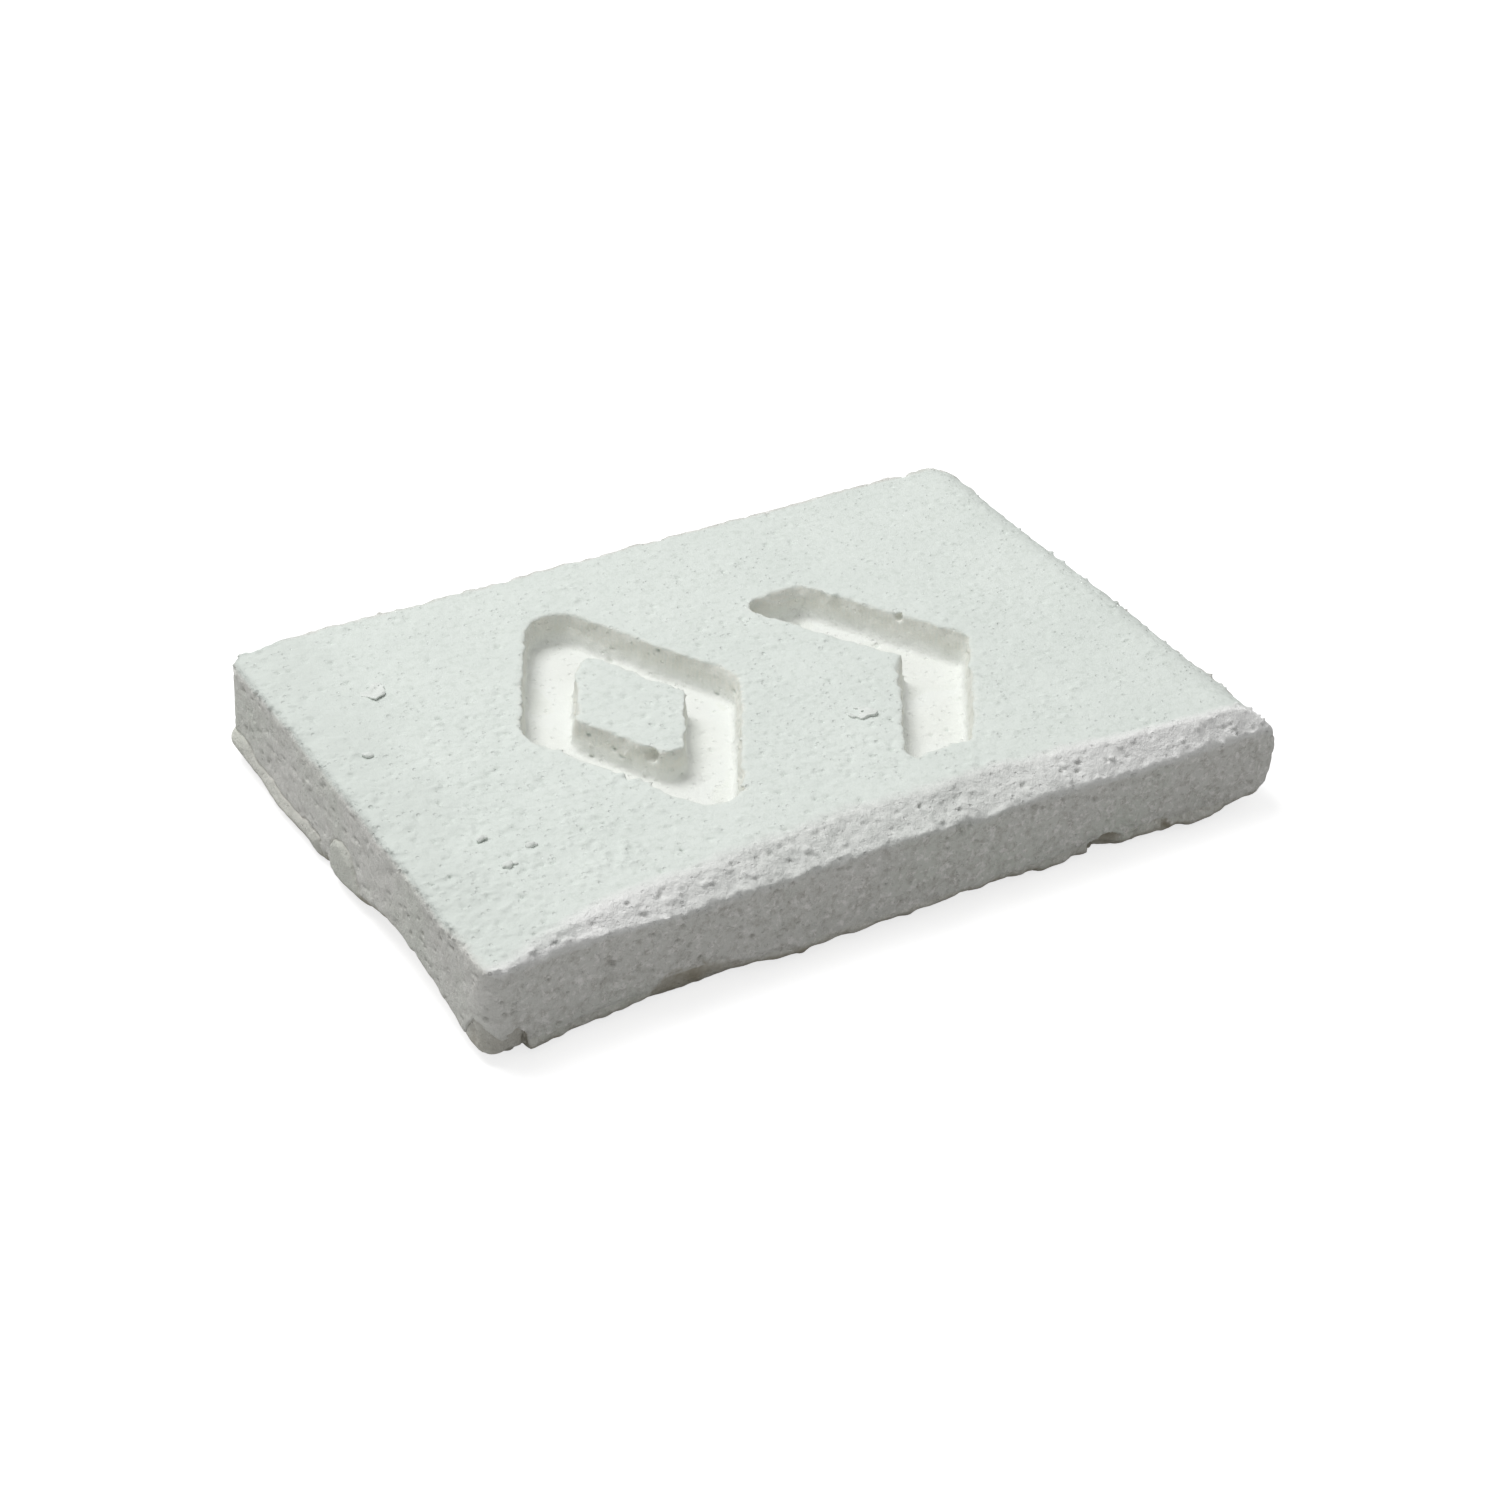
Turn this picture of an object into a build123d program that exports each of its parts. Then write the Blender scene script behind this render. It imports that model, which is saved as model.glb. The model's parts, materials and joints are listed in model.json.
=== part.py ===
"""Chalk block: a cast slab, the overfilled skin on its pour side, three pieces of flash cracked off
that skin's rim, a broken corner, and flakes and crumbs stuck to its face.

Frame: millimetres, +Z up.  The origin is the centre of the underside, on the plane that the block
rests on.  +X runs along the length and +Y along the width.  The moulded face is on top.
"""

import os
from math import atan2, pi, radians, sin, tan

from build123d import *

# Overall size
length = 105.5
width = 65.0
height = 14.0
skin_thickness = 2.2

# Edges of the slab
corner_radius = 2.6
front_bevel = (3.4, 2.8)  # leg across the face, leg down the wall
left_bevel = (2.2, 1.4)
right_round = 8.0
back_round = 1.2

# Recesses in the moulded face: a lozenge ring on the left, a chevron on the right
recess_depth = 4.3
recess_draft = 7.0  # degrees
lozenge_centre = (-16.0, 2.0)
lozenge_size = (29.0, 51.0)
lozenge_corner = 4.0
lozenge_groove = 6.5
chevron_tip = (27.5, -3.5)
chevron_groove = 8.0
chevron_reach = 22.0  # from the tip back to the end of a limb
chevron_half_height = 18.5
chevron_corner = 1.5
bubble_radius = 1.0  # air bubble broken open in the side of the lozenge's island
bubble_place = (-18.35, -6.3)
bubble_depth = 1.15

# Pour side: the skin overfilled the mould, so its rim is ragged and slopes in to where it rests
rest_insets = (3.6, 1.4, 2.6, 2.2)  # left, front, right and back, from the wall to the rest outline
rim_gap = 0.25  # mean distance from the slab's wall in to the rim
rim_corner = 3.5
rim_points = 72
long_lobes = (9, 0.45)  # lobes round the rim, and how far each stands out
short_lobes = (17, 0.3)

# Cracks: each outline runs anticlockwise and out past the wall, and each piece has its own height
crack = 0.35
beyond = 4.0
left = -length / 2
front = -width / 2
back_left_crack = [(-beyond, 69.0), (-beyond, 39.0), (2.0, 40.0), (3.0, 52.0), (3.4, 62.0), (5.0, 69.0)]
back_left_rise = 4.0
left_crack = [(-beyond, 38.0), (-beyond, 27.5), (1.8, 28.5), (2.8, 32.5), (2.0, 37.0)]
left_rise = 6.8
front_crack = [(77.5, -beyond), (90.0, -beyond), (88.5, 2.2), (83.0, 3.8), (78.5, 2.4)]
front_rise = 3.4
corner_crack = [(-beyond, -beyond), (5.6, -beyond), (5.2, 1.8), (3.0, 3.2), (1.8, 4.4), (-beyond, 4.8)]
corner_rise = 5.2

# Loose chalk on the face
flake_thickness = 0.4
flake_sides = 7
flake_places = [(-41.0, 17.6, 2.1), (6.6, -11.8, 1.5)]  # x, y and mean radius
crumb_places = [(-47.0, 6.0, 0.6), (-43.1, -13.5, 0.5), (-42.6, -19.0, 0.7), (-38.8, -17.0, 0.5)]
crumb_rise = 0.1  # share of a crumb's radius that its centre stands above the face

floor_z = height - recess_depth
draft_inset = recess_depth * tan(radians(recess_draft))


def bevel_edge(plane, wall, legs):
    """Cuts a flat bevel along the top edge above wall, which is on the plane's negative X side."""
    across, down = legs
    with BuildSketch(plane) as bevel:
        Polygon(
            (wall - across, height - 2 * down),
            (wall + 2 * across, height + down),
            (wall - across, height + down),
            align=None,
        )
    extrude(bevel.sketch, amount=length, both=True, mode=Mode.SUBTRACT)


def round_edge(plane, wall, radius):
    """Rounds the top edge above wall, which is on the plane's positive X side."""
    with BuildSketch(plane) as spandrel:
        with Locations((wall - radius / 2, height - radius / 2)):
            Rectangle(radius, radius)
        with Locations((wall - radius, height - radius)):
            Circle(radius, mode=Mode.SUBTRACT)
    extrude(spandrel.sketch, amount=length, both=True, mode=Mode.SUBTRACT)


def lozenge_face(z, inset):
    """The lozenge outline at height z, drawn in all round by inset."""
    half_w, half_h = lozenge_size[0] / 2, lozenge_size[1] / 2
    inradius = half_w * half_h / (half_w**2 + half_h**2) ** 0.5
    share = 1 - inset / inradius
    with BuildSketch(Plane.XY.offset(z)) as outline:
        with Locations(lozenge_centre):
            Polygon(
                (0, half_h * share),
                (-half_w * share, 0),
                (0, -half_h * share),
                (half_w * share, 0),
                align=None,
            )
        fillet(outline.vertices(), lozenge_corner * share)
    return outline.sketch


def chevron_face(z):
    """A chevron that points along +X, at height z."""
    slope = atan2(chevron_half_height, chevron_reach - chevron_groove)
    band = chevron_groove / sin(slope)  # the limb's width measured along X
    run = chevron_reach - band
    with BuildSketch(Plane.XY.offset(z)) as outline:
        with Locations(chevron_tip):
            Polygon(
                (0, 0),
                (-run, chevron_half_height),
                (-run - band, chevron_half_height),
                (-band, 0),
                (-run - band, -chevron_half_height),
                (-run, -chevron_half_height),
                align=None,
            )
        fillet(outline.vertices(), chevron_corner)
    return outline.sketch


def footprint_face(z):
    """The straight mould walls' outline at height z."""
    with BuildSketch(Plane.XY.offset(z)) as footprint:
        RectangleRounded(length, width, corner_radius)
    return footprint.sketch


def rim_face(z, insets, sway):
    """The skin's outline at height z: the wall's, drawn in by insets, with lobes scaled by sway."""
    in_left, in_front, in_right, in_back = insets
    with BuildSketch() as core:
        with Locations(((in_left - in_right) / 2, (in_front - in_back) / 2)):
            RectangleRounded(length - in_left - in_right, width - in_front - in_back, rim_corner)
    outline = core.wire()
    points = []
    for i in range(rim_points):
        share = i / rim_points
        lobe = sum(depth * sin(2 * pi * count * share + count) for count, depth in (long_lobes, short_lobes))
        outward = (outline % share).rotate(Axis.Z, -90)
        points.append(outline @ share + outward * lobe * sway)
    with BuildSketch(Plane.XY.offset(z)) as rim:
        with BuildLine():
            Spline(*points, periodic=True)
        make_face()
    return rim.sketch


def crack_face(outline, grow):
    """A cracked-off piece's outline, measured from the front left corner and widened by grow."""
    with BuildSketch() as broken:
        with Locations((left, front)):
            Polygon(*outline, align=None)
        if grow:
            offset(amount=grow, kind=Kind.INTERSECTION)
    return broken.sketch


cracks = [
    (back_left_crack, back_left_rise),
    (left_crack, left_rise),
    (front_crack, front_rise),
    (corner_crack, corner_rise),
]

# The slab: straight mould walls, worn edges, two recesses, and notches where pieces broke off
with BuildPart() as slab:
    extrude(footprint_face(skin_thickness), amount=height - skin_thickness)
    bevel_edge(Plane.YZ, front, front_bevel)
    bevel_edge(Plane.XZ, left, left_bevel)
    round_edge(Plane.XZ, -left, right_round)
    round_edge(Plane.YZ, -front, back_round)
    extrude(lozenge_face(height, 0), amount=-recess_depth, taper=recess_draft, mode=Mode.SUBTRACT)
    extrude(chevron_face(height), amount=-recess_depth, taper=recess_draft, mode=Mode.SUBTRACT)
    extrude(lozenge_face(floor_z, lozenge_groove - draft_inset), amount=recess_depth, taper=recess_draft)
    with Locations((*bubble_place, height - bubble_depth)):
        Sphere(bubble_radius, mode=Mode.SUBTRACT)
    for outline, rise in cracks:
        extrude(crack_face(outline, crack), amount=rise, mode=Mode.SUBTRACT)

# The whole skin before it cracked: narrower where it rests than at its rim
with BuildPart() as skin_blank:
    loft([rim_face(0, rest_insets, 0.5), rim_face(skin_thickness, [rim_gap] * 4, 1)])

with BuildPart() as pour_skin:
    add(skin_blank.part)
    for outline, rise in cracks:
        extrude(crack_face(outline, crack), amount=rise, mode=Mode.SUBTRACT)

# The foot of the whole casting, which the broken pieces are cut from
with BuildPart() as casting_foot:
    add(skin_blank.part)
    extrude(footprint_face(skin_thickness), amount=left_rise)

with BuildPart() as flash_back_left:
    add(casting_foot.part)
    extrude(crack_face(back_left_crack, 0), amount=back_left_rise, mode=Mode.INTERSECT)

with BuildPart() as flash_left:
    add(casting_foot.part)
    extrude(crack_face(left_crack, 0), amount=left_rise, mode=Mode.INTERSECT)

with BuildPart() as flash_front:
    add(casting_foot.part)
    extrude(crack_face(front_crack, 0), amount=front_rise, mode=Mode.INTERSECT)

with BuildPart() as corner_fragment:
    add(casting_foot.part)
    extrude(crack_face(corner_crack, 0), amount=corner_rise, mode=Mode.INTERSECT)

# Thin flakes of the face's own crust that have lifted and lie on it
with BuildPart() as face_flakes:
    for x, y, radius in flake_places:
        with BuildSketch(Plane.XY.offset(height)) as flake:
            with Locations((x, y)):
                RegularPolygon(radius, flake_sides)
        extrude(flake.sketch, amount=flake_thickness, taper=30)

# Crumbs: low domes seated on the face
with BuildPart() as face_crumbs:
    for x, y, radius in crumb_places:
        with Locations((x, y, height + radius * crumb_rise)):
            Sphere(radius)
    split(bisect_by=Plane.XY.offset(height), keep=Keep.TOP)

pieces = {
    "slab": slab,
    "pour_skin": pour_skin,
    "flash_back_left": flash_back_left,
    "flash_left": flash_left,
    "flash_front": flash_front,
    "corner_fragment": corner_fragment,
    "face_flakes": face_flakes,
    "face_crumbs": face_crumbs,
}
os.makedirs("parts", exist_ok=True)
for name, piece in pieces.items():
    piece.part.label = name
    export_step(piece.part, f"parts/{name}.step")
    print(name, len(piece.part.solids()), round(piece.part.volume, 1), piece.part.bounding_box())
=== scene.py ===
import json
from collections import namedtuple
from math import atan2, cos, pi, radians, sin, tan

import bmesh
import bpy
import numpy as np
import openvdb
from mathutils import Matrix, Vector


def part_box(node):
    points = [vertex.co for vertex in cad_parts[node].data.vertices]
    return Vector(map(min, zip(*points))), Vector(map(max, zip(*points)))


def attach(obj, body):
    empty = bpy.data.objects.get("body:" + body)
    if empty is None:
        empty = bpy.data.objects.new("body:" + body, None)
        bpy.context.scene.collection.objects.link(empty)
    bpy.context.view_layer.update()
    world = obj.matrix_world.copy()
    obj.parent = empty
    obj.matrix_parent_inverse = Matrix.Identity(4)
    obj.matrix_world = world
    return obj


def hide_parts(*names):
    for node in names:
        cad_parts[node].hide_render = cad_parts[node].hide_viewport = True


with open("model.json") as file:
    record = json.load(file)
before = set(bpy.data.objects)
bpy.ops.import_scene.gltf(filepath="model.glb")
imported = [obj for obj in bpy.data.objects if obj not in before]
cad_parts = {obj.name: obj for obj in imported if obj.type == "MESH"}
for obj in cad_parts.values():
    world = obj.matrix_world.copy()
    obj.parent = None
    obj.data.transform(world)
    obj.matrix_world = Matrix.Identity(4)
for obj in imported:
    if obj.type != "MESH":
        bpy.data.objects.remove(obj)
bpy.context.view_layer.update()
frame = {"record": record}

# The casting is worked out as a distance field in millimetres: below zero inside, above zero outside.
# Each piece is meshed from that field, and only then scaled to metres.
MM = 0.001
slab_low, slab_high = (np.array(corner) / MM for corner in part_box("slab"))
left, front, seam = slab_low
right, back, top = slab_high

# The casting's edges and ends
CORNER_RADIUS = 2.2
EDGE_RADIUS = 0.45
RIGHT_ROUND = 8.0
RIGHT_FOOT_ROUND = 6.5
END_SETBACK = 0.5  # how far the rounded right end stands in from the end of the box
FRONT_FLARE = 0.9  # how far the front wall swells out at the left corner
LEFT_BEVEL = (5.0, 0.55)  # leg across the face, leg down the wall
FRONT_BEVEL = (4.6, 2.3)  # the same where the front bevel is widest
FRONT_BEVEL_MIDDLE = -3.0  # the x where it is widest
FRONT_BEVEL_REACH = 57.0  # from there to where it runs out
UNDERSIDE_EDGE = 0.5

# The recesses in the face: a lozenge ring on the left, and a chevron on the right
RECESS_DEPTH = 4.3
DRAFT = tan(radians(7.0))
LOZENGE_CENTRE = (-16.0, 2.0)
LOZENGE_SIZE = (29.0, 51.0)
LOZENGE_CORNER = 4.0
LOZENGE_GROOVE = 6.5
ISLAND_CORNER = 1.9
CHEVRON_TIP = (27.5, -3.5)
CHEVRON_GROOVE = 8.0
CHEVRON_REACH = 22.0
CHEVRON_HALF_HEIGHT = 18.5
CHEVRON_CORNER = 1.5
RECESS_FILLET = 0.7  # between a recess's wall and its floor
ISLAND_FILLET = 0.4
RECESS_RIM = 0.1

# Air bubbles that broke open: centre and half-sizes
BUBBLES = [
    ((-18.35, -6.75, top - 1.2), (1.25, 0.85, 0.95)),
    ((-12.4, -8.6, top - 2.4), (0.5, 0.4, 0.5)),
    ((22.6, 4.4, top - 0.7), (0.7, 0.5, 0.5)),
]

# Loose chalk on the face: centre and size
FLAKES = [((-41.0, 17.6), 1.7), ((6.6, -11.8), 1.3)]
CRUMBS = [((-47.0, 6.0), 0.5), ((-43.1, -13.5), 0.42), ((-42.6, -19.0), 0.6), ((-38.8, -17.0), 0.4)]

# Pinholes and grains: how many, and their radii from least to most
PINHOLES = (2100, 0.22, 0.38)
GRAINS = (2400, 0.2, 0.36)

REST_CLEARANCE = 0.03  # between the lowest points and the floor
BEYOND = 4.0  # how far a crack's outline runs out past the walls

# How far each kind of surface blends into the next
KIND_BLEND = 0.8
UNDER_BLEND = 0.6

# Spacing of the points that each field is worked out on
VOXEL = 0.28
FINE_VOXEL = 0.16
LOOSE_VOXEL = 0.07

# What brings a random field's spread to about 1
NOISE_GAIN = 3.0
FLAT_NOISE_GAIN = 2.1
NOISE_PAD = 8.0  # how far random fields reach past the block on every side


class Grid:
    """A block of evenly spaced points, with smooth random fields that are the same on every grid."""

    origin = np.array([left, front, 0.0]) - NOISE_PAD
    extent = np.array([right - left, back - front, top]) + 2 * NOISE_PAD

    def __init__(self, low, high, voxel, margin=2.5):
        self.voxel = voxel
        self.low = np.array(low, float) - margin
        high = np.array(high, float) + margin
        self.axes = [np.arange(a, b, voxel) for a, b in zip(self.low, high)]
        self.x, self.y, self.z = (a.astype(np.float32) for a in np.ix_(*self.axes))

    def spline(self, k, spacing):
        """Cubic B-spline weights that join random values, spacing apart, at each place on axis k."""
        place = (self.axes[k] - self.origin[k]) / spacing
        whole = np.floor(place).astype(int)
        part = place - whole
        count = int(self.extent[k] / spacing) + 5
        cubic = (
            (1 - part) ** 3,
            3 * part**3 - 6 * part**2 + 4,
            -3 * part**3 + 3 * part**2 + 3 * part + 1,
            part**3,
        )
        weights = np.zeros((len(place), count), np.float32)
        for step, weight in enumerate(cubic):
            weights[np.arange(len(place)), whole + step] = weight / 6
        return weights

    def noise(self, spacing, seed):
        """A smooth random field with lumps about spacing across and a spread of about 1."""
        wx, wy, wz = (self.spline(k, spacing) for k in range(3))
        shape = (wx.shape[1], wy.shape[1], wz.shape[1])
        values = np.random.default_rng(seed).standard_normal(shape, np.float32)
        field = np.einsum("ia,jb,kc,abc->ijk", wx, wy, wz, values, optimize=True)
        return field * NOISE_GAIN

    def flat_noise(self, spacing, seed):
        """The same in plan only, so that it doesn't change with height."""
        wx, wy = (self.spline(k, spacing) for k in range(2))
        values = np.random.default_rng(seed).standard_normal((wx.shape[1], wy.shape[1]), np.float32)
        return (wx @ values @ wy.T * FLAT_NOISE_GAIN)[:, :, None]

    def stamp(self, field, centre, radii, cut):
        """Cuts an ellipsoid out of field, or joins one to it."""
        radii = np.broadcast_to(radii, 3)
        reach = radii + 2 * self.voxel
        spans = [
            slice(*np.searchsorted(axis, (c - r, c + r)))
            for axis, c, r in zip(self.axes, centre, reach)
        ]
        near = [(axis[s] - c) / r for axis, s, c, r in zip(self.axes, spans, centre, radii)]
        gx, gy, gz = np.ix_(*near)
        ball = (np.sqrt(gx**2 + gy**2 + gz**2) - 1) * radii.min()
        part = field[tuple(spans)]
        field[tuple(spans)] = np.maximum(part, -ball) if cut else np.minimum(part, ball)

    def surface(self, field, weight, count, seed):
        """Random places on field's surface, chosen in proportion to weight."""
        near = np.argwhere(np.abs(field) < self.voxel / 2)
        chance = np.broadcast_to(weight, field.shape)[tuple(near.T)].astype(float)
        rng = np.random.default_rng(seed)
        chosen = rng.choice(len(near), count, replace=False, p=chance / chance.sum())
        return self.low + near[chosen] * self.voxel

    def sample(self, field, points):
        """field's value at the grid place nearest to each point."""
        index = np.rint((points - self.low) / self.voxel).astype(int)
        index = np.clip(index, 0, np.array(field.shape) - 1)
        return field[tuple(index.T)]


def ramp(value, start, end):
    """Rises smoothly from 0 at start to 1 at end."""
    share = np.clip((value - start) / (end - start), 0, 1)
    return share * share * (3 - 2 * share)


def bump(value, centre, half_width):
    """A smooth hump of height 1 round centre."""
    return np.exp(-(((value - centre) / half_width) ** 2))


def rounded(a, b, radius):
    """The distance to the inside of two surfaces whose corner is rounded to radius."""
    inner = np.minimum(np.maximum(a, b) + radius, 0)
    return inner + np.hypot(np.maximum(a + radius, 0), np.maximum(b + radius, 0)) - radius


def polygon_distance(points, x, y):
    """The distance in plan from a polygon's outline, below zero inside it."""
    distance = np.full(np.broadcast(x, y).shape, 1e9, np.float32)
    inside = np.zeros(distance.shape, bool)
    for (ax, ay), (bx, by) in zip(points, points[1:] + points[:1]):
        dx, dy = bx - ax, by - ay
        share = np.clip(((x - ax) * dx + (y - ay) * dy) / (dx * dx + dy * dy), 0, 1)
        distance = np.minimum(distance, np.hypot(x - ax - share * dx, y - ay - share * dy))
        crosses = (ay > y) != (by > y)
        inside ^= crosses & (x < ax + (y - ay) * dx / (dy if dy else 1e-9))
    return np.where(inside, -distance, distance)


def lozenge_distance(grid, inset, corner):
    """The distance from the lozenge drawn in by inset, with its corners rounded."""
    half_w, half_h = LOZENGE_SIZE[0] / 2, LOZENGE_SIZE[1] / 2
    inradius = half_w * half_h / np.hypot(half_w, half_h)
    share = 1 - (inset + corner) / inradius
    points = [(0, half_h * share), (-half_w * share, 0), (0, -half_h * share), (half_w * share, 0)]
    return polygon_distance(points, grid.x - LOZENGE_CENTRE[0], grid.y - LOZENGE_CENTRE[1]) - corner


def chevron_distance(grid):
    """The distance from a chevron that points along +X, with its outer corners rounded."""
    slope = atan2(CHEVRON_HALF_HEIGHT, CHEVRON_REACH - CHEVRON_GROOVE)
    band = CHEVRON_GROOVE / sin(slope)
    lean = (CHEVRON_REACH - band) / CHEVRON_HALF_HEIGHT
    edge = CHEVRON_CORNER / sin(slope)
    limb = CHEVRON_HALF_HEIGHT - CHEVRON_CORNER
    points = [
        (-edge, 0),
        (-edge - limb * lean, limb),
        (edge - band - limb * lean, limb),
        (edge - band, 0),
        (edge - band - limb * lean, -limb),
        (-edge - limb * lean, -limb),
    ]
    x, y = grid.x - CHEVRON_TIP[0], grid.y - CHEVRON_TIP[1]
    return polygon_distance(points, x, y) - CHEVRON_CORNER


def recess_field(grid):
    """The two recesses as solids to cut away: rough drafted walls, crumbling rims and a smooth floor."""
    depth = top - grid.z
    below = np.maximum(depth, 0)
    crumble = np.exp(-below / 0.45) * (0.13 * grid.noise(0.7, 31) + 0.12 * grid.noise(1.6, 32))
    chips = 0.6 * ramp(grid.noise(2.2, 37), 1.2, 2.2) * np.exp(-below / 0.8)
    rough = 0.06 * grid.noise(0.7, 38) + 0.06 * grid.noise(1.5, 33)
    island_wall = DRAFT * depth + crumble - chips + rough
    wall = island_wall + 0.1 * grid.noise(7, 34)
    floor = (top - RECESS_DEPTH) - grid.z + 0.05 * grid.noise(3, 35) + 0.1 * grid.noise(9, 36)
    outer = lozenge_distance(grid, 0, LOZENGE_CORNER) + wall
    island = lozenge_distance(grid, LOZENGE_GROOVE, ISLAND_CORNER) - island_wall
    ring = rounded(rounded(outer, floor, RECESS_FILLET), -island, ISLAND_FILLET)
    chevron = rounded(chevron_distance(grid) + wall, floor, RECESS_FILLET)
    field = np.minimum(ring, chevron)
    for centre, radii in BUBBLES:
        grid.stamp(field, centre, radii, cut=False)
    return field


def front_line(grid):
    """Where the front wall stands: it flares out at the left corner."""
    return front - FRONT_FLARE * bump(grid.x, left, 10)


def wall_field(grid):
    """The distance in plan from the mould's walls, which wander a little."""
    wander = 0.16 * grid.noise(24, 1) + 0.08 * grid.noise(9, 2)
    across = np.maximum(left - grid.x, grid.x - right)
    along = np.maximum(front_line(grid) - grid.y, grid.y - back)
    return rounded(across, along, CORNER_RADIUS) + wander


def front_bevel_field(grid):
    """The broken front edge: widest across the middle, and nothing at the left corner."""
    across, down = FRONT_BEVEL
    along = grid.x - FRONT_BEVEL_MIDDLE
    across = across * cos_hump(along, FRONT_BEVEL_REACH) + 1.3 * bump(grid.x, right, 14) + 0.1
    down = down + 0.3 * (along / 50) ** 2 - 1.5 * bump(grid.x, left, 16)
    rough = 0.045 * grid.noise(0.65, 11) + 0.055 * grid.noise(1.2, 12) + 0.13 * grid.noise(4, 13)
    worn = 1 - 0.35 * ramp(np.abs(along), 10, 45)
    flat = (front_line(grid) + across - grid.y) * down + (grid.z - top) * across
    return flat / np.hypot(across, down) + rough * worn * ramp(grid.x, left - 2, left + 8)


def cos_hump(value, half_width):
    """A cosine arch of height 1 round 0, and 0 past half_width."""
    return np.cos(np.clip(value / half_width, -1, 1) * pi / 2)


def left_bevel_field(grid):
    """The worn left edge: a broad band that falls very little, with soft lumps."""
    across, down = LEFT_BEVEL
    rough = 0.045 * grid.noise(0.8, 21) + 0.13 * grid.noise(2.2, 22) + 0.1 * grid.noise(6, 23)
    flat = ((left + across - grid.x) * down + (grid.z - top) * across) / np.hypot(across, down)
    return flat + rough


def underside_field(grid, walls):
    """The pour side: flat in the middle, and rising over inset to a ragged rim, rise above the floor."""
    by_front_left = bump(grid.y, front + 18, 12) * bump(grid.x, left, 12)
    by_front = bump(grid.y, front, 6)
    undercut = ramp(grid.x, left + 19.5, left + 23) * ramp(-grid.x, -left - 38, -left - 24) * by_front
    settled = 0.75 * bump(grid.x, left + 8, 9) + 0.5 * bump(grid.x, left + 73, 6)
    settled = (settled + 0.75 * bump(grid.x, right - 11, 6)) * by_front
    inset = 2.6 + 0.9 * grid.flat_noise(15, 41) + 5.0 * by_front_left
    inset = inset * (1 - undercut) + 1.7 * undercut
    rise = 1.5 + 0.35 * grid.flat_noise(11, 42) + 0.13 * grid.flat_noise(4, 43)
    rise = rise * (1 - settled) + 2.6 * by_front_left
    rise = rise * (1 - undercut) + 4.2 * undercut
    inward = np.clip(1 + walls / np.maximum(inset, 0.8), 0, 1.3)
    lift = np.maximum(rise, 0.3) * inward**1.6
    return lift - grid.z + 0.04 * grid.noise(1.8, 44)


def lobe_field(grid):
    """How far the overfilled skin stands out past the wall below the seam."""
    lobes = 0.25 * grid.flat_noise(7, 51) + 0.05 * grid.flat_noise(3, 52)
    lobes = lobes + 0.6 * bump(grid.y, front, 8) * bump(grid.x, right - 12, 6)
    lobes = lobes - 0.8 * bump(grid.y, front, 8) * bump(grid.x, left + 26, 8)
    edge = seam + 0.4 + 0.3 * grid.flat_noise(5, 53)
    return np.maximum(lobes, -0.3) * ramp(edge - grid.z, 0, 0.7)


def casting(grid):
    """The whole casting before it cracked, and how strongly each kind of surface shows at each point.

    The kinds are the moulded face, the walls with the lowest part of the underside, the broken front
    bevel, the worn left bevel and the underside.  The pale ends of the break are painted light, which
    makes up for their being steeper and darker under the lamp; calm is the smoother left wall, and grain is
    the relief itself in millimetres.
    """
    walls = wall_field(grid)
    lobed = walls - lobe_field(grid)
    corner_drop = 0.9 * bump(grid.x, left, 7) * bump(grid.y, front, 8)
    face = grid.z - top + corner_drop + 0.06 * grid.noise(12, 61) + 0.03 * grid.noise(4, 62)
    front_bevel = front_bevel_field(grid)
    left_bevel = left_bevel_field(grid)
    end_wall = grid.x - right + END_SETBACK + 0.12 * grid.noise(9, 63)
    end = rounded(end_wall, face, RIGHT_ROUND)
    foot = rounded(end_wall, -grid.z, RIGHT_FOOT_ROUND)
    field = rounded(np.maximum(lobed, np.maximum(end, foot)), face, EDGE_RADIUS)
    field = np.maximum(field, np.maximum(front_bevel, rounded(lobed, left_bevel, 1.0)))
    under = underside_field(grid, walls)
    field = np.maximum(rounded(field, under, UNDERSIDE_EDGE), REST_CLEARANCE - grid.z)
    sides = np.maximum(lobed, end_wall)
    kinds = {
        "face": 1 + (face - np.maximum(np.maximum(sides, front_bevel), left_bevel)) / KIND_BLEND,
        "wall": 1 + (sides - np.maximum(np.maximum(face, front_bevel), left_bevel)) / KIND_BLEND,
        "break": 1 + (front_bevel - np.maximum(face, sides)) / KIND_BLEND,
        "wear": 1 + (left_bevel - np.maximum(face, sides)) / KIND_BLEND,
        "under": 1 + (under - sides) / UNDER_BLEND,
    }
    kinds = {name: np.clip(kind, 0, 1) for name, kind in kinds.items()}
    lowest = ramp(-grid.z, -3, -1)
    kinds["wall"] = np.maximum(kinds["wall"], kinds["under"] * lowest)
    # Painted light: the ends of the front break are made paler, as they are steeper and darker under the
    # lamp.
    kinds["painted_bevel_light"] = kinds["break"] * ramp(np.abs(grid.x - FRONT_BEVEL_MIDDLE), 8, 40)
    crumbly = 1 + 0.5 * ramp(-grid.x, -20, 45)
    grain = kinds["face"] * crumbly * (0.03 * grid.noise(0.6, 71) + 0.018 * grid.noise(1.4, 72))
    calm = 1 - 0.6 * bump(grid.x, left, 4) - 0.3 * bump(grid.y, back, 4) - 0.3 * bump(grid.x, right, 6)
    grain = grain + kinds["wall"] * calm * (0.09 * grid.noise(0.65, 73) + 0.07 * grid.noise(1.3, 74))
    kinds["grain"] = grain
    kinds["calm"] = kinds["wall"] * bump(grid.x, left, 4)
    return field + grain, kinds


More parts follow.
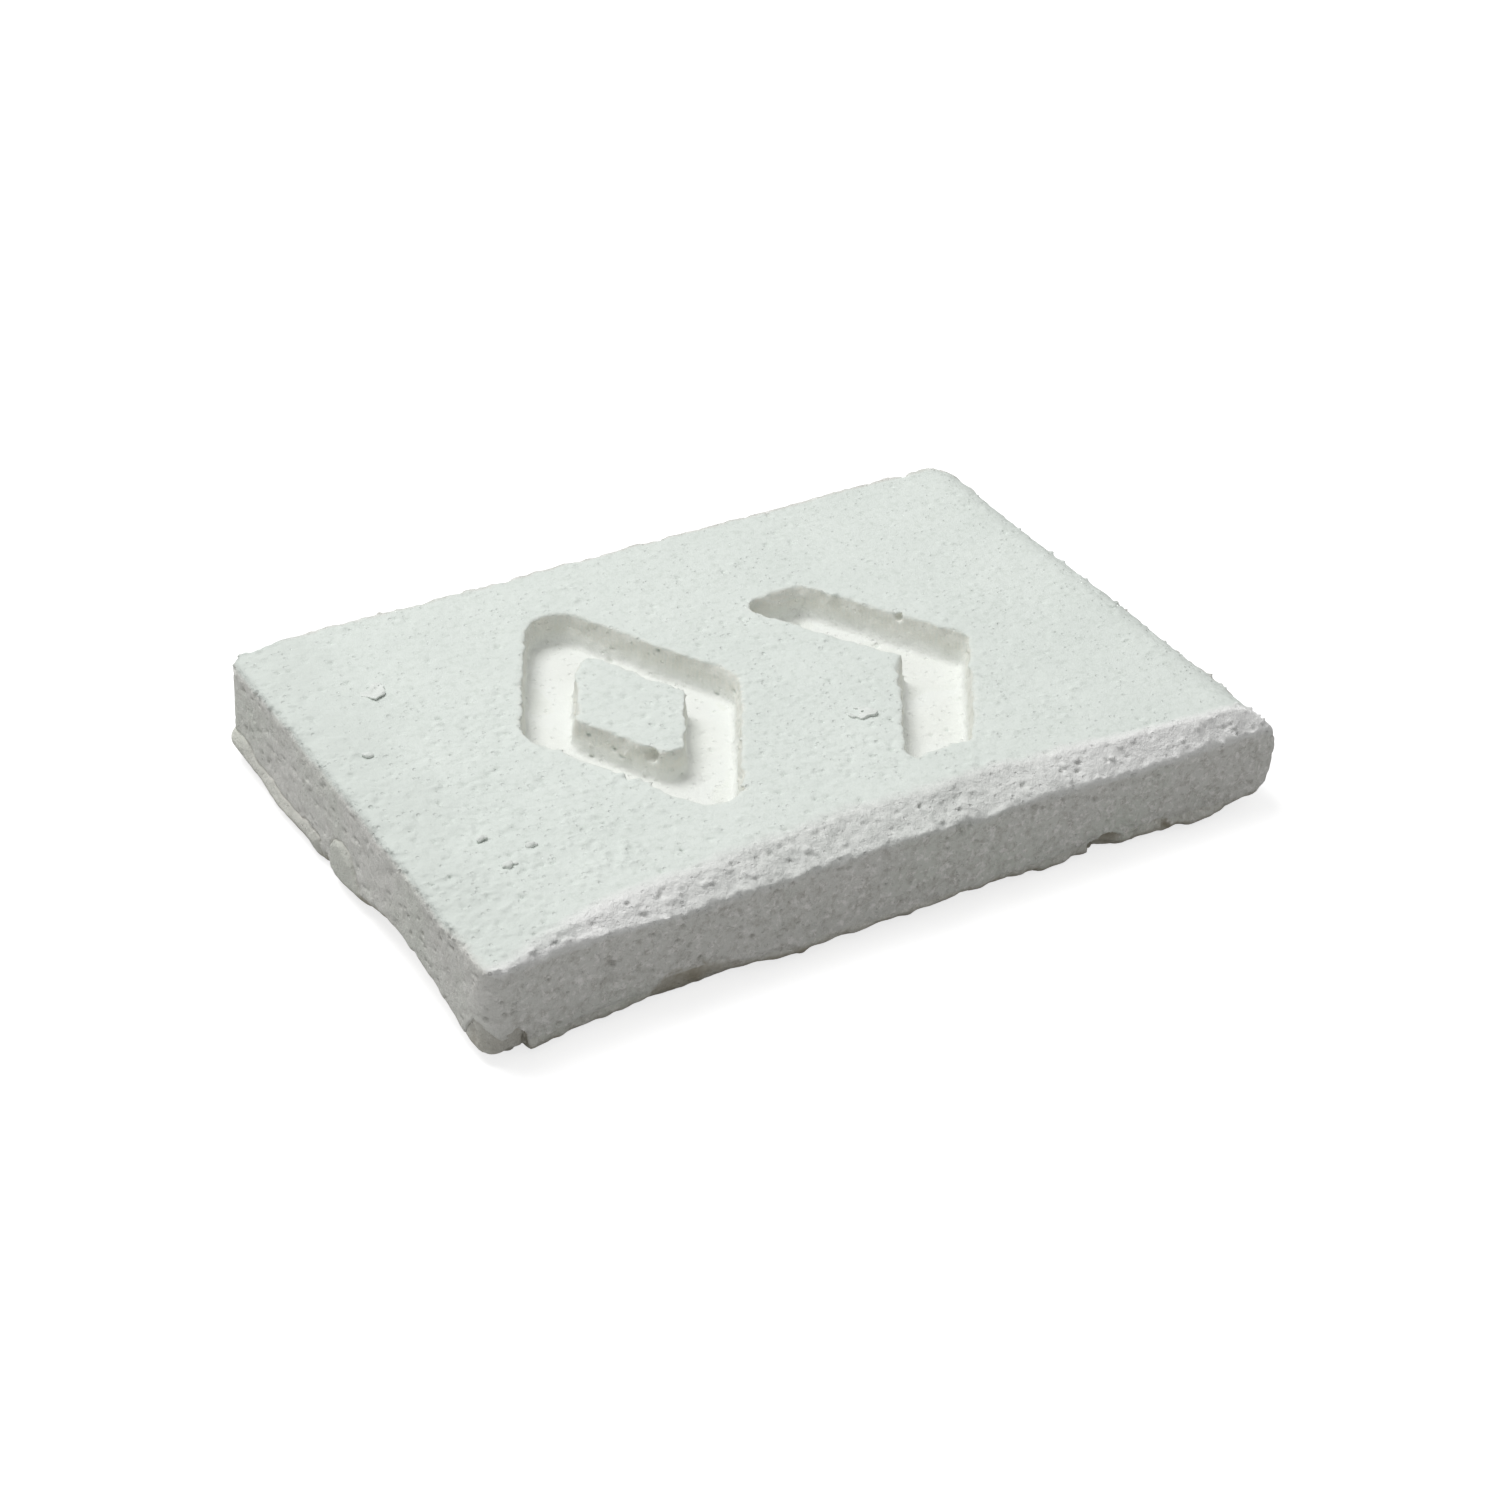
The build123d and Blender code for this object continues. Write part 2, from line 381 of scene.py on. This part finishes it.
# A piece cracked off the rim.  Its outline in plan is measured from the front left corner.  Its heights and
# how deep its surface is sunk are given at places along the rim: past 0 they run along the front wall, and
# below 0 back along the left wall.  ragged is how much its crack wanders, and smooth is how much of the
# wall's grain it has lost.
Crack = namedtuple("Crack", "outline heights sinks ragged smooth")
CRACKS = {
    "flash_back_left": Crack(
        [(-BEYOND, 69.0), (-BEYOND, 39.0), (2.0, 40.0), (3.0, 52.0), (3.4, 62.0), (5.0, 69.0)],
        [(-64, 4.1), (-60, 4.4), (-56, 3.0), (-50, 2.9), (-45, 3.6), (-40, 3.9)],
        [(-64, -0.6), (-56, -0.45), (-40, -0.35)],
        0.13,
        0.3,
    ),
    "flash_left": Crack(
        [(-BEYOND, 38.0), (-BEYOND, 27.5), (1.8, 28.5), (2.8, 32.5), (2.0, 37.0)],
        [(-38, 3.4), (-36.5, 5.8), (-34.5, 6.8), (-32.5, 6.5), (-31, 5.3), (-29, 2.4), (-28, 1.5)],
        [(-38, -0.3), (-34, -0.5), (-28, -0.3)],
        0.18,
        0.7,
    ),
    "flash_front": Crack(
        [(77.5, -BEYOND), (90.0, -BEYOND), (88.5, 2.2), (83.0, 3.8), (78.5, 2.4)],
        [(77, 1.2), (80.5, 3.9), (82.2, 2.8), (87.5, 2.4), (89, 3.2), (91, 3.4)],
        [(78, 1.0), (82.0, 1.0), (82.4, 0.0), (88.4, 0.0), (88.8, 0.5)],
        0.16,
        0.0,
    ),
    "corner_fragment": Crack(
        [(-BEYOND, -BEYOND), (5.6, -BEYOND), (5.2, 1.8), (3.0, 3.2), (1.8, 4.4), (-BEYOND, 4.8)],
        [(-4.4, 1.0), (-2.4, 5.2), (-1.2, 6.0), (0.6, 5.0), (2.2, 3.7), (3.2, 4.4), (4.8, 4.4), (5.8, 1.0)],
        [(-4.6, 0.1), (-2, 0.25), (0, 0.5), (4.6, 0.7)],
        0.14,
        0.0,
    ),
}
LAP = 0.12  # how far a piece laps over the edge of the pocket that it broke from


def along_rim(grid):
    """The place along the rim: past 0 along the front wall, and below 0 back along the left wall."""
    from_left, from_front = grid.x - left, grid.y - front
    return np.where(from_left > from_front, from_left, -from_front)


def profile(places, along):
    """The value at each place along the rim, with the corners between the given places rounded off."""
    steps = np.linspace(-0.8, 0.8, 5)
    return sum(np.interp(along + step, *zip(*places)) for step in steps).astype(np.float32) / len(steps)


def crack_field(grid, crack):
    """The space that a cracked-off piece fills, with a wandering crack for its edge."""
    plan = polygon_distance(crack.outline, grid.x - left, grid.y - front)
    over = grid.z - profile(crack.heights, along_rim(grid))
    wander = crack.ragged * (grid.noise(1.0, 81) + 1.2 * grid.noise(3, 82))
    return rounded(plan, over, 0.5) + wander


# Notches where a crack gapes: centre and half-sizes
GAPES = [
    ((left, front + 38.5, 0.5), (1.4, 0.95, 2.0)),
    ((left + 80.9, front, 2.0), (1.2, 0.9, 1.1)),
    ((left + 89.2, front - 0.2, 1.9), (0.6, 0.6, 1.8)),
    ((left + 4.9, front - 0.6, 1.9), (0.3, 1.1, 1.4)),
]


def cut_gapes(grid, field):
    """Cuts the gaping notches out of field."""
    for centre, radii in GAPES:
        grid.stamp(field, centre, radii, cut=True)


def scatter(grid, field, kinds):
    """Pinholes where air broke the surface, and grains that stand on it."""
    rng = np.random.default_rng(90)
    front_left = ramp(-grid.y, -20, 25) * ramp(-grid.x, -30, 30)
    inner = ramp(grid.z, seam, seam + 1.5)
    clear = 1 - kinds["groove"]
    count, least, most = PINHOLES
    spread = kinds["face"] * (0.5 + 1.5 * front_left) + 0.9 * kinds["wall"] * inner + 0.7 * kinds["break"]
    for place in grid.surface(field, spread * clear, count, 91):
        radius = rng.uniform(least, most)
        grid.stamp(field, place, radius * np.array([1.1, 1.1, 0.8]), cut=True)
    count, least, most = GRAINS
    spread = kinds["face"] * (0.4 + 2.6 * front_left) + 1.2 * kinds["break"] + 1.5 * kinds["wear"]
    for place in grid.surface(field, spread * clear, count, 92):
        radius = rng.uniform(least, most)
        grid.stamp(field, place, radius * np.array([1.3, 1.0, 0.7]), cut=False)


def in_largest(count, links):
    """Whether each of count points is in the biggest part that links, rows of joined points, connect."""
    label = np.arange(count)
    while True:
        lowest = label[links].min(axis=1)
        new = label.copy()
        np.minimum.at(new, links.ravel(), np.repeat(lowest, links.shape[1]))
        new = new[new]
        if (new == label).all():
            return label == np.bincount(label).argmax()
        label = new


def mesh_from_field(name, grid, field):
    """A mesh on the zero surface of field's largest part, in metres."""
    band = 3 * grid.voxel
    volume = openvdb.FloatGrid(band)
    volume.copyFromArray(np.clip(field, -band, band))
    points, quads = volume.convertToQuads(isovalue=0.0)
    kept = in_largest(len(points), quads)
    quads = (np.cumsum(kept) - 1)[quads[kept[quads[:, 0]]]]
    places = grid.low + points[kept] * grid.voxel
    mesh = bpy.data.meshes.new(name)
    mesh.vertices.add(len(places))
    mesh.vertices.foreach_set("co", (places * MM).astype(np.float32).ravel())
    mesh.loops.add(quads.size)
    mesh.loops.foreach_set("vertex_index", quads.astype(np.int32).ravel())
    mesh.polygons.add(len(quads))
    mesh.polygons.foreach_set("loop_start", np.arange(0, quads.size, 4, dtype=np.int32))
    mesh.update(calc_edges=True)
    mesh.validate()
    mesh.shade_smooth()
    return mesh


def paint(mesh, grid, kinds):
    """Stores each kind of surface on the mesh, for its material."""
    co = np.zeros(len(mesh.vertices) * 3, np.float32)
    mesh.vertices.foreach_get("co", co)
    places = co.reshape(-1, 3) / MM
    for name, kind in kinds.items():
        attribute = mesh.attributes.new(name, "FLOAT", "POINT")
        attribute.data.foreach_set("value", grid.sample(kind, places).astype(np.float32))


def cut_at_seam(mesh, keep_above):
    """Keeps the part of mesh above or below the seam, closes it with a flat face and drops loose specks."""
    bm = bmesh.new()
    bm.from_mesh(mesh)
    cut = bmesh.ops.bisect_plane(
        bm,
        geom=bm.verts[:] + bm.edges[:] + bm.faces[:],
        plane_co=(0, 0, seam * MM),
        plane_no=(0, 0, 1),
        clear_inner=keep_above,
        clear_outer=not keep_above,
    )
    rim = [e for e in cut["geom_cut"] if isinstance(e, bmesh.types.BMEdge)]
    for edge in rim:
        edge.smooth = False
    filled = bmesh.ops.holes_fill(bm, edges=rim)
    for face in filled["faces"]:
        face.smooth = False
    bm.normal_update()
    result = bpy.data.meshes.new(mesh.name)
    bm.to_mesh(result)
    edges = np.zeros(len(result.edges) * 2, np.int32)
    result.edges.foreach_get("vertices", edges)
    kept = in_largest(len(result.vertices), edges.reshape(-1, 2))
    specks = [vertex for vertex, keep in zip(bm.verts, kept) if not keep]
    bmesh.ops.delete(bm, geom=specks, context="VERTS")
    bm.to_mesh(result)
    bm.free()
    return result


def join_meshes(name, meshes):
    """One mesh made of several, which are then removed."""
    bm = bmesh.new()
    for mesh in meshes:
        bm.from_mesh(mesh)
        bpy.data.meshes.remove(mesh)
    joined = bpy.data.meshes.new(name)
    bm.to_mesh(joined)
    bm.free()
    return joined


def add_piece(name, mesh, node, material):
    """Puts a finished mesh in the scene in place of its CAD node."""
    piece = bpy.data.objects.new(name, mesh)
    bpy.context.scene.collection.objects.link(piece)
    mesh.materials.append(material)
    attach(piece, "root")
    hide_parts(node)
    return piece


def rim_soiling_and_shade(grid, kinds):
    """Soiling and painted shade on the slope between the walls and the plane that the block rests on."""
    return kinds["under"] * ramp(-grid.z, -5.2, -3.6) * ramp(grid.z, 0.02, 0.5)


def build_block(materials):
    """The slab and its skin: one field, cut in two at the seam so that they meet without a gap."""
    grid = Grid((left, front, 0), (right, back, top), VOXEL)
    field, kinds = casting(grid)
    recesses = recess_field(grid)
    near_recess = np.clip(1 - (recesses + 0.1) / 0.5, 0, 1)
    kinds["floor"] = near_recess * ramp(top - grid.z, 2.2, 3.6)
    kinds["groove"] = near_recess * ramp(top - grid.z, 0.1, 0.5)
    field = rounded(field, -recesses, RECESS_RIM)
    scatter(grid, field, kinds)
    whole = field.copy()
    for crack in CRACKS.values():
        field = np.maximum(field, -LAP - crack_field(grid, crack))
    cut_gapes(grid, field)
    field = np.maximum(field, REST_CLEARANCE - grid.z)
    # Painted shade and soiling: the faces deep in the cracks and notches, and the slope under the rim, are
    # browned.
    broken = ramp(field - whole, 0.0, 0.1) * ramp(-whole, 0.15, 0.7)
    kinds["stain_and_shade"] = np.maximum(rim_soiling_and_shade(grid, kinds), broken)
    block = mesh_from_field("block", grid, field)
    paint(block, grid, kinds)
    for name, node, above in (("slab_cast", "slab", True), ("pour_skin_crust", "pour_skin", False)):
        mesh = cut_at_seam(block, above)
        mesh.name = name
        add_piece(name, mesh, node, materials[node])
    bpy.data.meshes.remove(block)


def build_fragments(materials):
    """The cracked-off pieces, each cut from the same casting on a finer grid of its own."""
    for node, crack in CRACKS.items():
        low, high = (np.array(corner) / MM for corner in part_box(node))
        grid = Grid(low, high, FINE_VOXEL, margin=1.6)
        whole, kinds = casting(grid)
        sink = profile(crack.sinks, along_rim(grid))
        edge = crack_field(grid, crack)
        proud = np.maximum(-sink, 0) * ramp(-edge, -0.1, 1.9 - 1.5 * crack.smooth)
        sunk = np.maximum(sink, 0) * ramp(grid.z, 0.2, 1.2)
        smoothing = kinds["grain"] * ramp(proud, 0, 0.2) * crack.smooth
        field = rounded(whole - smoothing - proud + sunk, edge, 0.12 + 0.6 * proud.max())
        field = np.maximum(field, REST_CLEARANCE - grid.z)
        cut_gapes(grid, field)
        # Painted shade and soiling: a piece's sunk faces and its deep crack faces are browned.
        grime_and_shade = 0.65 * ramp(sink, 0, 0.3) + 0.35 * ramp(-whole, 0.1, 0.7)
        kinds["stain_and_shade"] = np.maximum(rim_soiling_and_shade(grid, kinds), grime_and_shade * ramp(grid.z, 0.1, 0.8))
        kinds["lobe"] = crack.smooth * ramp(proud, 0, 0.15)
        mesh = mesh_from_field(node, grid, field)
        paint(mesh, grid, kinds)
        add_piece(node + "_lump", mesh, node, materials[node])


def flake_mesh(number, centre, size):
    """A curl of crust, still joined to the face at the back and lifted along its front and right."""
    x, y = centre
    grid = Grid((x - size, y - size, top), (x + size, y + size, top + 0.8), LOOSE_VOXEL, margin=0.8)
    dx, dy = grid.x - x, grid.y - y
    disc = np.hypot(dx, dy * 1.1) - size * 0.95
    bite = 0.7 * size - np.hypot(dx + 0.5 * size, dy - 0.7 * size)
    outline = np.maximum(disc, bite) + 0.22 * grid.flat_noise(0.9, 101) + 0.14 * grid.flat_noise(0.4, 102)
    toward = (0.5 * dx - 0.85 * dy) / size
    middle = top - 0.1 + 0.16 * ramp(toward, -0.7, 0.9) + 0.07 * grid.flat_noise(0.8, 103)
    sheet = np.abs(grid.z - middle) - 0.14 - 0.06 * grid.flat_noise(0.45, 104)
    field = rounded(outline, sheet, 0.06)
    return mesh_from_field(f"flake_{number}", grid, field)


def crumb_mesh(number, centre, size):
    """An angular crumb with a smaller one stuck to its side."""
    x, y = centre
    grid = Grid((x - size, y - size, top), (x + size, y + size, top + size), LOOSE_VOXEL, margin=0.9)
    rng = np.random.default_rng(110 + number)
    turn = rng.uniform(0, pi)
    dx, dy = grid.x - x, grid.y - y
    u, v = dx * cos(turn) + dy * sin(turn), dy * cos(turn) - dx * sin(turn)
    up = grid.z - top
    lump = (np.sqrt((u / 1.2) ** 2 + (v / 0.9) ** 2 + (up / 0.6) ** 2) - size) * 0.8
    side = (np.sqrt((u - size) ** 2 + (v + 0.5 * size) ** 2 + (up / 0.6) ** 2) - size * 0.6) * 0.8
    field = np.minimum(lump, side) + 0.06 * grid.noise(0.45, 120) + 0.025 * grid.noise(0.22, 121)
    return mesh_from_field(f"crumb_{number}", grid, field)


def build_loose(materials):
    """The flakes and crumbs that lie on the face."""
    for name, node, build, places in (
        ("crust_flakes", "face_flakes", flake_mesh, FLAKES),
        ("chalk_crumbs", "face_crumbs", crumb_mesh, CRUMBS),
    ):
        meshes = [build(number, centre, size) for number, (centre, size) in enumerate(places)]
        add_piece(name, join_meshes(name, meshes), node, materials[node])


def shader(material, kind, **values):
    """Adds a node to material's tree, sets its inputs by name and returns it."""
    node = material.node_tree.nodes.new(kind)
    for name, value in values.items():
        fill(material, node.inputs[name.replace("_", " ")], value)
    return node


def fill(material, socket, value):
    """Links value to socket if it is another node's output, and otherwise sets it."""
    if isinstance(value, bpy.types.NodeSocket):
        material.node_tree.links.new(value, socket)
    else:
        socket.default_value = value


class Chalk:
    """A chalk material, with short ways to add nodes to it.  Its tint multiplies every colour."""

    def __init__(self, name, tint):
        self.material = bpy.data.materials.new(name)
        self.material.use_nodes = True
        self.tree = self.material.node_tree
        self.surface = self.tree.nodes["Principled BSDF"]
        self.place = self.add("ShaderNodeTexCoord").outputs["Object"]
        self.tint = tint

    def add(self, kind, **values):
        return shader(self.material, kind, **values)

    def noise(self, scale, detail=3.0, roughness=0.5):
        values = {"Vector": self.place, "Scale": scale, "Detail": detail, "Roughness": roughness}
        return self.add("ShaderNodeTexNoise", **values).outputs["Fac"]

    def kind(self, name):
        """How strongly a kind of surface shows."""
        node = self.add("ShaderNodeAttribute")
        node.attribute_name = name
        return node.outputs["Fac"]

    def mix(self, factor, a, b):
        node = self.add("ShaderNodeMix")
        node.data_type = "RGBA"
        for socket, value in zip((node.inputs[0], node.inputs[6], node.inputs[7]), (factor, a, b)):
            fill(self.material, socket, value)
        return node.outputs[2]

    def spread(self, value, low, high, to_low=0.0, to_high=1.0):
        """Maps low to to_low and high to to_high."""
        values = {"From_Min": low, "From_Max": high, "To_Min": to_low, "To_Max": to_high}
        return self.add("ShaderNodeMapRange", Value=value, **values).outputs["Result"]

    def math(self, operation, a, b):
        node = self.add("ShaderNodeMath")
        node.operation = operation
        for socket, value in zip(node.inputs, (a, b)):
            fill(self.material, socket, value)
        return node.outputs[0]

    def shade(self, red, green, blue):
        return (red * self.tint[0], green * self.tint[1], blue * self.tint[2], 1.0)


def face_colour(chalk):
    """The moulded face: a pale green white with faint darker specks, partly a fine speckle and partly
    painted shade of its pits and grains.
    """
    clouds = chalk.spread(chalk.noise(90), 0.35, 0.65)
    # The specks are partly painted shade: a darker green grey for the tiny shadows of the pits and grains.
    specks = chalk.math("MULTIPLY", chalk.spread(chalk.noise(1100, 5.0, 0.7), 0.5, 0.75), 0.8)
    colour = chalk.mix(clouds, chalk.shade(0.74, 0.788, 0.747), chalk.shade(0.77, 0.816, 0.775))
    return chalk.mix(specks, colour, chalk.shade(0.62, 0.67, 0.62))


def wall_colour(chalk):
    """The walls: a warmer white with green patches, grey flecks and white flecks that are painted
    highlights on the fine grain.
    """
    clouds = chalk.spread(chalk.noise(160), 0.3, 0.7)
    patches = chalk.math("MULTIPLY", chalk.spread(chalk.noise(75), 0.5, 0.7), 0.6)
    amount = chalk.spread(chalk.kind("calm"), 0.0, 1.0, 0.95, 0.4)
    grey = chalk.math("MULTIPLY", chalk.spread(chalk.noise(1000, 5.0, 0.75), 0.48, 0.68), amount)
    # Painted highlight: the white flecks stand for the lit tops of the wall's fine grains.
    white = chalk.math("MULTIPLY", chalk.spread(chalk.noise(1250, 4.0, 0.7), 0.52, 0.66), amount)
    colour = chalk.mix(clouds, chalk.shade(0.775, 0.78, 0.735), chalk.shade(0.815, 0.81, 0.77))
    colour = chalk.mix(patches, colour, chalk.shade(0.74, 0.78, 0.70))
    colour = chalk.mix(grey, colour, chalk.shade(0.56, 0.545, 0.50))
    return chalk.mix(white, colour, chalk.shade(1.0, 0.98, 0.95))


def break_colour(chalk):
    """The broken front bevel."""
    clouds = chalk.spread(chalk.noise(900, 4.0, 0.7), 0.35, 0.65)
    return chalk.mix(clouds, chalk.shade(0.74, 0.76, 0.73), chalk.shade(0.90, 0.915, 0.885))


def groove_colour(chalk):
    """The walls of the recesses."""
    clouds = chalk.spread(chalk.noise(420, 4.0, 0.7), 0.35, 0.65)
    return chalk.mix(clouds, chalk.shade(0.80, 0.80, 0.73), chalk.shade(0.91, 0.91, 0.855))


def soiling_and_shade_colour(chalk):
    """The brown of the cracks and of the slope under the rim, partly soiling and partly painted shade."""
    clouds = chalk.spread(chalk.noise(500), 0.35, 0.65)
    return chalk.mix(clouds, chalk.shade(0.60, 0.575, 0.50), chalk.shade(0.42, 0.385, 0.31))


def colour_by_kind(chalk):
    """Every kind of surface's colour, each laid over the ones before it."""
    # Painted light: the ends of the break are mixed towards a paler colour.
    painted_bevel_light = chalk.math("MULTIPLY", chalk.kind("painted_bevel_light"), 0.85)
    # Painted shade and soiling: browns the cracks, sunk faces and the slope under the rim.
    dirt_and_shade = chalk.math("MULTIPLY", chalk.kind("stain_and_shade"), chalk.spread(chalk.noise(260), 0.35, 0.6, 0.45, 1.0))
    colour = face_colour(chalk)
    for amount, layer in (
        (chalk.kind("wall"), wall_colour(chalk)),
        (chalk.kind("break"), break_colour(chalk)),
        (painted_bevel_light, chalk.shade(1.0, 1.0, 0.985)),
        (chalk.kind("wear"), chalk.shade(0.70, 0.745, 0.705)),
        (chalk.kind("lobe"), chalk.shade(0.70, 0.725, 0.675)),
        (chalk.kind("groove"), groove_colour(chalk)),
        (chalk.kind("floor"), chalk.shade(0.85, 0.87, 0.84)),
        (dirt_and_shade, soiling_and_shade_colour(chalk)),
    ):
        colour = chalk.mix(amount, colour, layer)
    return colour


def powder_relief(chalk):
    """The finest grain, rougher on the walls and the break, with a few of the smallest pinholes."""
    rough = chalk.math("MAXIMUM", chalk.kind("wall"), chalk.kind("break"))
    grain = chalk.add(
        "ShaderNodeBump",
        Height=chalk.noise(1300, 6.0, 0.7),
        Distance=chalk.spread(rough, 0.0, 1.0, 0.00022, 0.0005),
        Strength=0.9,
    )
    pores = chalk.add("ShaderNodeTexVoronoi", Vector=chalk.place, Scale=1300.0)
    few = chalk.spread(pores.outputs["Color"], 0.55, 0.6)
    pinholes = chalk.math("MULTIPLY", chalk.spread(pores.outputs["Distance"], 0.32, 0.12), few)
    pitted = chalk.add(
        "ShaderNodeBump",
        Height=chalk.math("SUBTRACT", 1.0, pinholes),
        Distance=0.00012,
        Strength=0.8,
        Normal=grain.outputs["Normal"],
    )
    return pitted.outputs["Normal"]


def chalk_material(name, tint):
    """Matt powdery chalk, coloured by the kinds of surface that are stored on the mesh."""
    chalk = Chalk(name, tint)
    surface = chalk.surface.inputs
    fill(chalk.material, surface["Base Color"], colour_by_kind(chalk))
    fill(chalk.material, surface["Roughness"], chalk.spread(chalk.noise(700), 0.3, 0.7, 0.86, 1.0))
    fill(chalk.material, surface["Specular IOR Level"], 0.2)
    fill(chalk.material, surface["Normal"], powder_relief(chalk))
    return chalk.material


def build_materials():
    """The finish of each CAD node's material slot."""
    moulded = chalk_material("chalk_moulded", (1.0, 1.0, 1.0))
    pour_side = chalk_material("chalk_pour_side", (0.99, 0.985, 0.965))
    # The loose pieces are a little paler than the face: painted light that offsets the shade on their
    # sides.
    loose = chalk_material("chalk_loose", (1.03, 1.01, 1.02))
    finishes = {"moulded_chalk": moulded, "pour_side_chalk": pour_side, "loose_chalk": loose}
    return {part["node"]: finishes[part["material_slot"]] for part in frame["record"]["subparts"]}


def place_camera():
    """The camera, by its direction from a point on the face, its distance and its roll."""
    azimuth, elevation, roll = radians(-33.07), radians(34.54), radians(3.42)
    target = Vector((-8.71, -12.4, top))
    distance = 345.0
    towards = Vector((sin(azimuth) * cos(elevation), -cos(azimuth) * cos(elevation), sin(elevation)))
    level = Vector((cos(azimuth), sin(azimuth), 0))
    upright = towards.cross(level)
    across = level * cos(roll) + upright * sin(roll)
    up = upright * cos(roll) - level * sin(roll)
    data = bpy.data.cameras.new("camera")
    data.sensor_width = 36.0
    data.lens = 73.73
    camera = bpy.data.objects.new("camera", data)
    bpy.context.scene.collection.objects.link(camera)
    turn = Matrix((across, up, towards)).transposed().to_4x4()
    camera.matrix_world = Matrix.Translation((target + towards * distance) * MM) @ turn
    bpy.context.scene.camera = camera


def add_light(name, azimuth, elevation, distance, size, power):
    """A soft square lamp that faces the block from azimuth, which is counted like the camera's."""
    a, e = radians(azimuth), radians(elevation)
    towards = Vector((sin(a) * cos(e), -cos(a) * cos(e), sin(e)))
    data = bpy.data.lights.new(name, "AREA")
    data.size = size
    data.energy = power
    lamp = bpy.data.objects.new(name, data)
    bpy.context.scene.collection.objects.link(lamp)
    lamp.location = towards * distance
    lamp.rotation_euler = towards.to_track_quat("Z", "Y").to_euler()


def surround():
    """A dim even surround that looks pale where the camera sees it."""
    world = bpy.data.worlds.new("surround")
    bpy.context.scene.world = world
    world.use_nodes = True
    ray = shader(world, "ShaderNodeLightPath").outputs["Is Camera Ray"]
    strength = shader(world, "ShaderNodeMapRange", Value=ray, To_Min=0.375, To_Max=0.93)
    background = world.node_tree.nodes["Background"]
    background.inputs["Color"].default_value = (1, 1, 1, 1)
    fill(world, background.inputs["Strength"], strength.outputs["Result"])


def floor_material():
    """A floor that looks nearly white with a faint shadow, and throws back less light than that."""
    material = bpy.data.materials.new("floor")
    material.use_nodes = True
    lit = shader(material, "ShaderNodeBsdfDiffuse", Color=(0.5, 0.5, 0.5, 1))
    glow = shader(material, "ShaderNodeEmission", Color=(0.74, 0.74, 0.74, 1))
    seen = shader(material, "ShaderNodeAddShader")
    fill(material, seen.inputs[0], lit.outputs[0])
    fill(material, seen.inputs[1], glow.outputs[0])
    bounced = shader(material, "ShaderNodeBsdfDiffuse", Color=(0.55, 0.55, 0.55, 1))
    ray = shader(material, "ShaderNodeLightPath").outputs["Is Camera Ray"]
    blend = shader(material, "ShaderNodeMixShader")
    for socket, value in zip(blend.inputs, (ray, bounced.outputs[0], seen.outputs[0])):
        fill(material, socket, value)
    fill(material, material.node_tree.nodes["Material Output"].inputs["Surface"], blend.outputs[0])
    return material


def build_floor():
    """A wide flat floor in the plane that the block rests on."""
    half = 6.0
    corners = [(-half, -half, 0), (half, -half, 0), (half, half, 0), (-half, half, 0)]
    mesh = bpy.data.meshes.new("floor")
    mesh.from_pydata(corners, [], [(0, 1, 2, 3)])
    mesh.materials.append(floor_material())
    floor = bpy.data.objects.new("floor", mesh)
    bpy.context.scene.collection.objects.link(floor)


bpy.context.scene.view_settings.view_transform = "Standard"
materials = build_materials()
build_block(materials)
build_fragments(materials)
build_loose(materials)
place_camera()
surround()
add_light("key", azimuth=212, elevation=67, distance=0.9, size=0.5, power=6.0)
build_floor()
